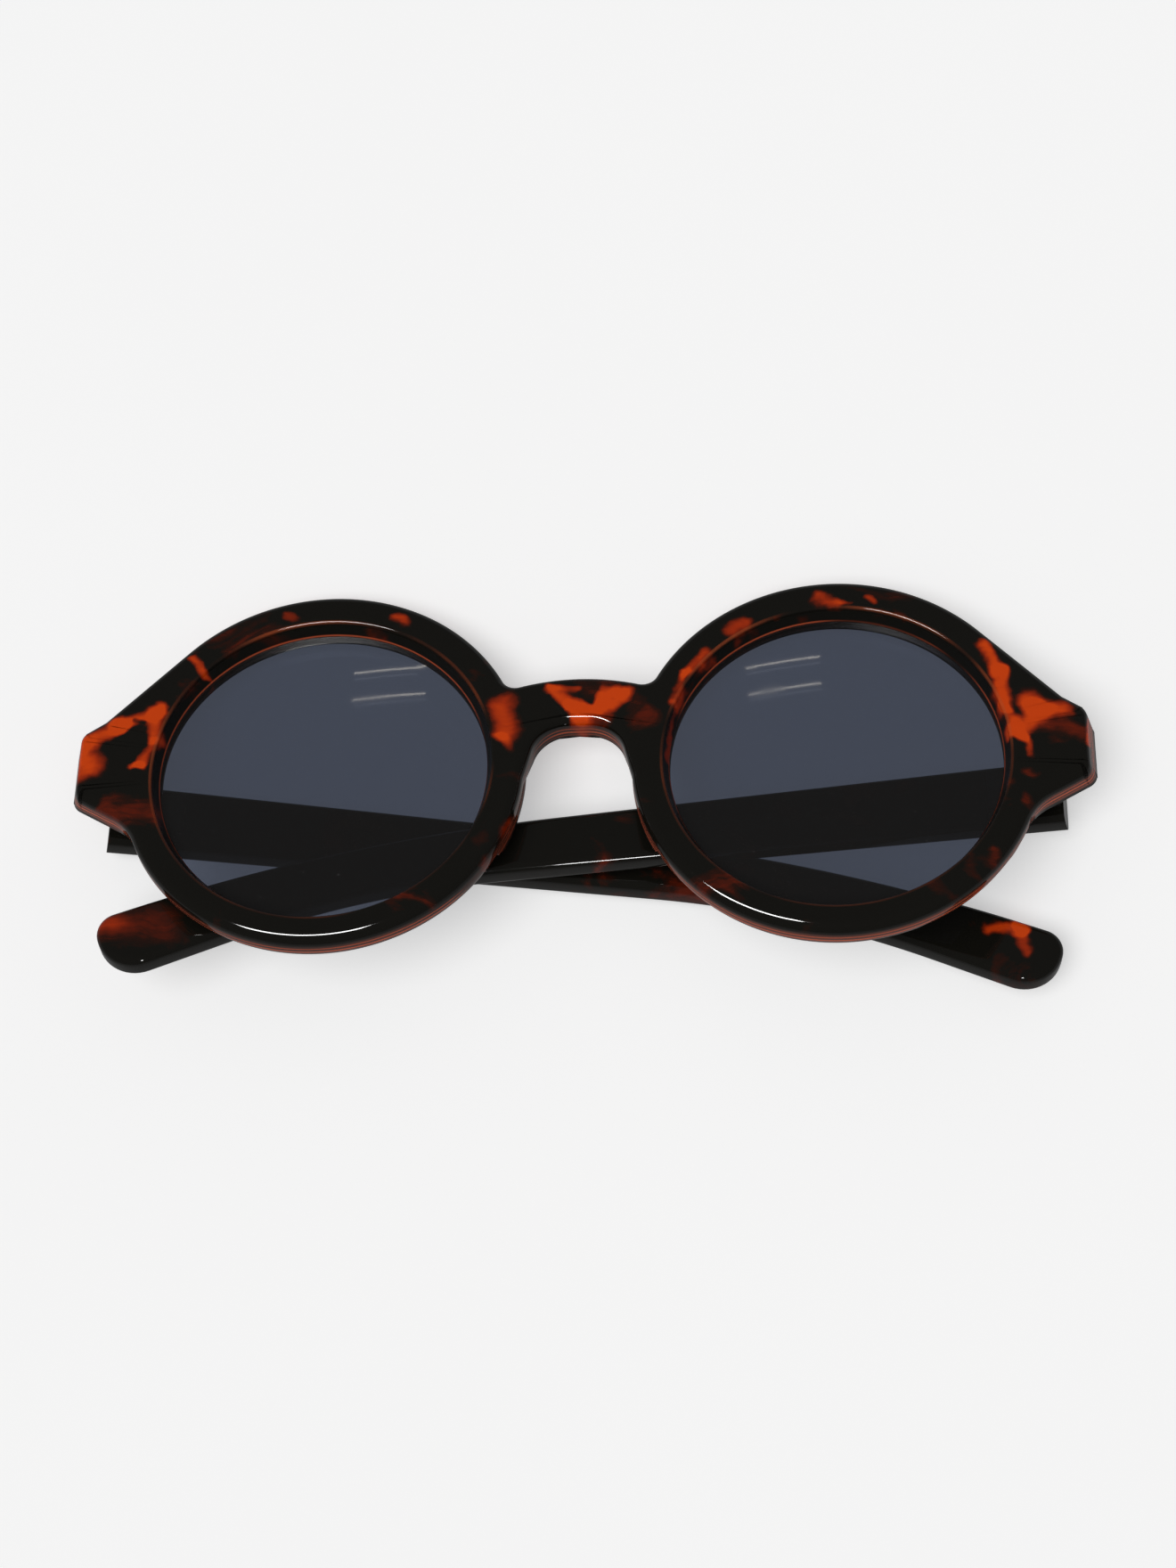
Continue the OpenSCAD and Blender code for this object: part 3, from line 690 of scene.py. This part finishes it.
# Painted light: the red glow of light that leaks through the moulded front, painted into its colour in its
# walls, seams and lips
WALL_GLOW_RED = (0.12, 0.034, 0.022, 1)
SEAM_GLOW_RED = (0.5, 0.09, 0.035, 1)
LIP_GLOW_RED = (0.3, 0.06, 0.018, 1)
WALL_FROM_R = 26.2
WALL_TO_R = 27.2
# Each seam's depth and half width, in mm, and its share of the painted red glow
SEAMS = ((PARTING_Z, 0.17, 1.0), (PARTING_Z + 0.8, 0.12, 0.6), (PARTING_Z - 0.7, 0.1, 0.4))

# Streaks of amber in the front, in mm: from x, y to x, y, radius, and strength. 1 is amber,
# 0.5 dark red, and below 0 it bites into the amber.
FRONT_STREAKS = [
    # wearer's right end piece: an arch over a dark eye
    (-70.5, 4.6, -65.7, 7.6, 1.5, 1), (-65.7, 7.6, -60.6, 10.6, 1.2, 1),
    (-60.4, 10.2, -60, 6.4, 1.1, 1), (-60.4, 5, -61.2, 1.2, 1, 0.9),
    (-61.2, 1, -62.8, 0.6, 0.6, 0.9), (-70.2, 3.4, -68.6, 0.2, 2.1, 1),
    (-64, 3.6, -63.2, 4.8, 1.9, -1), (-63.4, 8.9, -61.8, 8.6, 0.42, -0.8),
    # its rim
    (-55.2, 18.4, -53.2, 15.9, 0.68, 0.9), (-42.1, 25.6, -41.6, 25.2, 0.9, 0.75),
    (-26.9, 24.1, -25.8, 23.4, 1, 0.8), (-10.6, 9.6, -9.9, 4.8, 2, 0.85),
    (-10.4, 3.6, -9.6, 1.6, 0.84, 0.5), (-8.4, -10, -11, -16, 1.6, 0.8),
    # bridge
    (-2.8, 10.6, -0.4, 8.2, 1.4, 1), (6.2, 10.2, 3, 8.9, 1.4, 1), (3, 8.9, 0.1, 7.3, 1.3, 1),
    (-3.2, 12, 6.4, 11.2, 0.9, 0.75), (1.8, 11.6, 1.8, 10.3, 0.9, -1.2),
    (-3.4, 8.4, -2.8, 7.6, 1.1, -0.9), (4.6, 6.8, 5.6, 8, 1.1, 0.5), (-1, 5.6, 2.6, 5.6, 0.96, 0.5),
    # wearer's left rim
    (18.2, 16.9, 15, 13.2, 1.1, 0.9), (14.8, 13, 12.9, 8.8, 0.9, 0.8),
    (12.7, 8.4, 12.1, 0.2, 0.54, 0.62), (21.8, 20.8, 23.4, 22, 1.2, 0.75),
    (33.9, 26.2, 35.8, 24.9, 1.1, 0.95), (36.4, 24.7, 38.4, 24.4, 0.6, 0.7),
    (41.2, 25.1, 41.6, 24.6, 0.83, 0.9), (44.6, 23, 45.8, 22.4, 0.6, 0.6),
    (28, 23.6, 33.4, 24.5, 0.54, 0.55),
    # its end piece: a strip that runs into a three-cornered patch
    (57, 16.6, 58.7, 12.4, 0.9, 1), (58.8, 12, 59.8, 7, 1.05, 1), (59.9, 6.4, 60.5, 2.6, 0.95, 0.95),
    (63.2, 7.4, 67, 6, 1.5, 1), (64.6, 5.8, 61.2, 2.8, 1.4, 1), (61.8, 1.4, 62.6, -0.9, 0.68, 0.85),
    (65, 3.4, 70.2, 1.9, 1.4, 0.5), (70.9, 4.8, 70.9, 0.8, 0.6, 1),
    (62.4, -3.4, 62.9, -3.8, 0.84, 0.5), (61.9, -7.2, 61.6, -8.2, 0.84, 0.48),
    (56.6, -15.4, 55.6, -17.6, 1.1, 0.48), (57, 5.6, 57.2, 9, 0.6, 0.5),
]
TEMPLE_STREAKS = [
    # the wearer's right tip: a branch
    (56.8, -19.2, 60.6, -19, 1.0, 0.85), (59.8, -16.2, 60.3, -18.4, 0.7, 0.75),
    (63, -17.2, 61.4, -18.8, 0.7, 0.8), (61.2, -19.8, 61.6, -22.8, 0.9, 0.68),
    # the wearer's left tip: dark red all over
    (-66.4, -20.4, -64.2, -20.6, 1.7, 0.3), (-66, -22, -57.5, -21.4, 3.6, 0.4),
    # faint ones further in
    (37.5, -2.4, 39.5, -1.2, 1.6, 0.42), (44, -0.6, 45.6, 0.2, 1.4, 0.42),
    (28, -4.2, 29.4, -5.4, 1.5, 0.4), (-36, -2, -30, -4, 2.2, 0.38), (21, -8, 24, -10, 1.4, 0.38),
]


def drift(f):
    """The surface's place, pulled about by a broad noise and a fine one, so that streaks laid
    through it wander."""
    place = f.place
    for scale, reach in ((120.0, 0.0045), (380.0, 0.0016)):
        pull = f.vector("SUBTRACT", f.noise(scale, 2.0, out="Color"), (0.5, 0.5, 0.5))
        place = f.vector("ADD", place, f.scaled(pull, reach))
    return place


def painted_light_leaks(f, colour, rough):
    """The moulded front's colour and roughness: a painted red glow where light leaks into its walls
    and along its seams, a painted red glint round the lips of its lens openings that is stronger
    towards the brow, and less polished on the openings' walls."""
    x, y, z = f.front_axes(f.place)
    leak = f.smooth(f.noise(38.0, 2.0), 0.34, 0.52)
    round_lens = f.node("CombineXYZ", {}, {0: abs(x) - LENS_X, 1: y, 2: 0.0})
    radius = f.vector("LENGTH", round_lens, out="Value")
    rough = rough + f.smooth(radius, OPENING_R + 0.3, OPENING_R) * f.smooth(z, -0.4, -0.7) * 0.3

    # painted glow: red patches in the rims' outer walls, standing in for light that leaks in
    wall = f.smooth(radius, WALL_FROM_R, WALL_TO_R) * f.smooth(z, -1.3, -1.9)
    wall = wall * f.smooth(f.noise(30.0, 2.0), 0.3, 0.62)
    wall = wall * f.smooth(z, 0.05 - FRONT_T, 0.3 - FRONT_T)
    colour = f.mix(wall * 0.75, colour, WALL_GLOW_RED)
    # painted glow: red lines along the seams where light leaks in, patchy by a noise
    for depth, half, share in SEAMS:
        seam = f.smooth(abs(z - depth), half * 1.6, half * 0.4)
        colour = f.mix(seam * leak * share, colour, SEAM_GLOW_RED)
    # painted glint: a red line round each opening's lip, stronger towards the brow
    lip = f.smooth(abs(radius - (OPENING_R + 0.12)), 0.3, 0.08) * f.smooth(z, -1.0, -0.4)
    lip = lip * f.smooth(f.noise(46.0, 2.0), 0.4, 0.62)
    lip = lip * (f.smooth(y, -14.0, 10.0) * 0.35 + 0.12)
    return f.mix(lip, colour, LIP_GLOW_RED), rough


def tortoiseshell(name, streaks, depth_share, moulded):
    """Near-black plastic with amber clouds. Two noises pull the streaks about and two more fray them,
    over faint red-brown clouds. The smaller depth_share is, the further the streaks reach through the
    plastic's depth. A moulded piece also gets a painted red glow of light that leaks in, and a painted
    glint at its lips."""
    f = Finish(name)
    place = drift(f)
    x, y, z = f.front_axes(place)
    flat = f.node("CombineXYZ", {}, {0: x, 1: y, 2: z * depth_share})
    fine = f.noise(620.0, 4.0, 0.4)
    faint = f.smooth(f.noise(85.0, 4.0, 1.0), 0.46, 0.72) * 0.43
    stretch = {"Vector": place, "Rotation": (0, 0, 0.5), "Scale": (300, 1500, 600)}
    flow = f.noise(1.0, 3.0, 0.6, place=f.node("Mapping", {}, stretch, "Vector"))
    field = clouds(f, flat, streaks).larger(faint) + (fine - 0.5) * 0.1 + (flow - 0.5) * 0.2
    colour = f.ramp(field, SHELL)
    rough = 0.045 + f.smooth(f.noise(900.0, 2.0), 0.62, 0.75) * 0.05
    # painted red glow and glint of light that leaks into the front
    if moulded:
        colour, rough = painted_light_leaks(f, colour, rough)
    ripple = f.noise(120.0, 2.0)
    bump = f.node("Bump", {}, {"Strength": 0.03, "Distance": 0.0002, "Height": ripple}, "Normal")
    return f.surface(Base_Color=colour, Roughness=rough, IOR=1.47, Specular_IOR_Level=0.4, Normal=bump)


def smoke_lens():
    """A clear blue-grey tint under a bright hard coat, which shows faint wipe marks and dust."""
    f = Finish("smoke_lens")
    marks = f.smooth(f.noise(60.0, 4.0, 2.0), 0.45, 0.8)
    dust = f.smooth(f.noise(1600.0, 2.0), 0.74, 0.8)
    colour = f.mix(dust * 0.5, (0.014, 0.0125, 0.011, 1), (0.2, 0.2, 0.2, 1))
    coat = f.node("BsdfPrincipled", {}, {"Base Color": colour, "Roughness": 0.03 + marks * 0.03, "IOR": 2.2})
    tint = f.node("BsdfTransparent", {}, {"Color": (0.46, 0.5, 0.59, 1)})
    both = f.node("MixShader", {}, {0: 0.34 + dust * 0.1, 1: tint, 2: coat})
    f.node("OutputMaterial", {}, {"Surface": both})
    return f.material


def hinge_metal(name, base, rough):
    """Drawn metal: fine lines across the pin's axis change its sheen."""
    f = Finish(name)
    drawn = f.node("Mapping", {}, {"Vector": f.place, "Scale": (300.0, 4000.0, 300.0)}, "Vector")
    lines = f.noise(1.0, 2.0, place=drawn)
    grime = f.smooth(f.noise(500.0, 3.0), 0.5, 0.7)
    colour = f.mix(grime * 0.35, (*base, 1), tuple(0.45 * c for c in base) + (1,))
    return f.surface(Base_Color=colour, Metallic=1.0, Roughness=rough + lines * 0.18)


def paper(name, grey, glow=0.0):
    """Matt paper of a grey. Its glow fills the shadows on it, as a backdrop lit from below does."""
    f = Finish(name)
    grain = f.noise(9.0, 3.0)
    colour = f.mix(grain, (grey, grey, grey, 1), (grey + 0.03, grey + 0.03, grey + 0.03, 1))
    return f.surface(Base_Color=colour, Roughness=0.75, Specular_IOR_Level=0.1,
                     Emission_Color=(1.0, 1.0, 1.0, 1), Emission_Strength=glow)


def dress(piece, material):
    piece.data.materials.clear()
    piece.data.materials.append(material)


frame_plastic = tortoiseshell("tortoiseshell_front", FRONT_STREAKS, 0.35, True)
temple_plastic = tortoiseshell("tortoiseshell_temple", TEMPLE_STREAKS, 0.04, False)
lens_finish = smoke_lens()
leaf_finish = hinge_metal("gunmetal", (0.2, 0.19, 0.18), 0.34)
screw_finish = hinge_metal("bright_steel", (0.75, 0.75, 0.74), 0.2)

for piece in [front_shell, *nose_pads]:
    dress(piece, frame_plastic)
for piece in temples:
    dress(piece, temple_plastic)
for piece in lenses:
    dress(piece, lens_finish)
for node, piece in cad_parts.items():
    if "leaf" in node:
        dress(piece, leaf_finish)
    elif "screw" in node:
        dress(piece, screw_finish)

# Table and light

GROUND_HALF = 6.0


def flat_ground(name, height, material):
    """A level square, large enough to reach past every view."""
    mesh = bpy.data.meshes.new(name)
    corners = [(GROUND_HALF * x, GROUND_HALF * y, height) for x, y in ((-1, -1), (1, -1), (1, 1), (-1, 1))]
    mesh.from_pydata(corners, [], [(0, 1, 2, 3)])
    ground = bpy.data.objects.new(name, mesh)
    bpy.context.scene.collection.objects.link(ground)
    dress(ground, material)
    return ground


table = flat_ground("table", -2e-5, paper("table_white", 0.88, 0.44))
table.visible_glossy = False
# the gloss mirrors a darker card, which keeps the walls of the rims deep
card = flat_ground("grey_card", -3e-5, paper("card_grey", 0.42))
card.visible_camera = card.visible_diffuse = card.visible_transmission = card.visible_shadow = False

world = bpy.context.scene.world or bpy.data.worlds.new("room")
bpy.context.scene.world = world
world.use_nodes = True
world.node_tree.nodes["Background"].inputs[0].default_value = (1.0, 1.0, 1.0, 1)
world.node_tree.nodes["Background"].inputs[1].default_value = 0.1


def hang(name, light, at, aim, roll=0.0):
    """Puts a light at a place, turned to face another, and rolled about that line in degrees."""
    holder = bpy.data.objects.new(name, light)
    holder.location = at
    facing = (Vector(aim) - Vector(at)).to_track_quat("-Z", "Y")
    holder.rotation_euler = (facing @ Quaternion((0, 0, 1), math.radians(roll))).to_euler()
    bpy.context.scene.collection.objects.link(holder)
    return holder


def only(name, pieces):
    """A collection of the pieces that a lamp is limited to."""
    collection = bpy.data.collections.new(name)
    for piece in pieces:
        collection.objects.link(piece)
    return collection


def sun(name, way, strength, width, pieces=None):
    """A broad sun, width degrees across, that shines from way and that no gloss mirrors."""
    light = bpy.data.lights.new(name, "SUN")
    light.energy, light.angle = strength, math.radians(width)
    holder = hang(name, light, way, (0, 0, 0))
    holder.visible_glossy = False
    holder.light_linking.receiver_collection = pieces


def panel(name, at, aim, size, power, pieces, roll=0.0, colour=(1.0, 1.0, 1.0)):
    """A rectangular lamp that shows only in the gloss of the pieces it is limited to."""
    light = bpy.data.lights.new(name, "AREA")
    light.shape = "RECTANGLE"
    light.size, light.size_y = size
    light.energy, light.color = power, colour
    holder = hang(name, light, at, aim, roll)
    holder.visible_diffuse = False
    holder.light_linking.receiver_collection = pieces


hinge_pieces = [piece for node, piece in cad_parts.items() if "hinge" in node]
all_pieces = [front_shell, *nose_pads, *lenses, *temples, *hinge_pieces]

# a faint glow from the whole ceiling, a core from the lower left that casts the soft shadows, and
# a key sun that lights the sunglasses alone
sun("ceiling_glow", (-0.1, -0.15, 1), 0.2, 120)
sun("ceiling_core", (-0.26, -0.2, 1), 1.2, 40)
sun("ceiling_key", (-0.12, -0.1, 1), 1.6, 60, only("glasses_only", all_pieces))

# lamps that only some pieces mirror: one draws the light lines on the front's rounded edges, one the
# line on a temple's lower edge, and a pair of warm tubes shows in the lenses
panel("rim_box", (-0.126, 0.084, 0.42), (-0.126, 0, 0), (0.2, 0.07), 2.3, only("front_only", [front_shell]))
panel("arm_box", (0.052, -0.4, 0.42), (0.052, 0, 0), (0.036, 0.05), 0.4, only("temples_only", temples))
TUBES_WAY = Vector((-0.0758, 0.8797, 0.4695))
TUBES_UP = Vector((0, -0.4695, 0.8797))
TUBES_AWAY = 3.0
TUBES_APART = 0.186
lenses_only = only("lenses_only", lenses)
for shift in (-TUBES_APART / 2, TUBES_APART / 2):
    panel("ceiling_tube", TUBES_WAY * TUBES_AWAY + TUBES_UP * shift, (0, 0, 0.01), (0.355, 0.011), 0.065,
          lenses_only, roll=3.0, colour=(1.0, 0.93, 0.82))
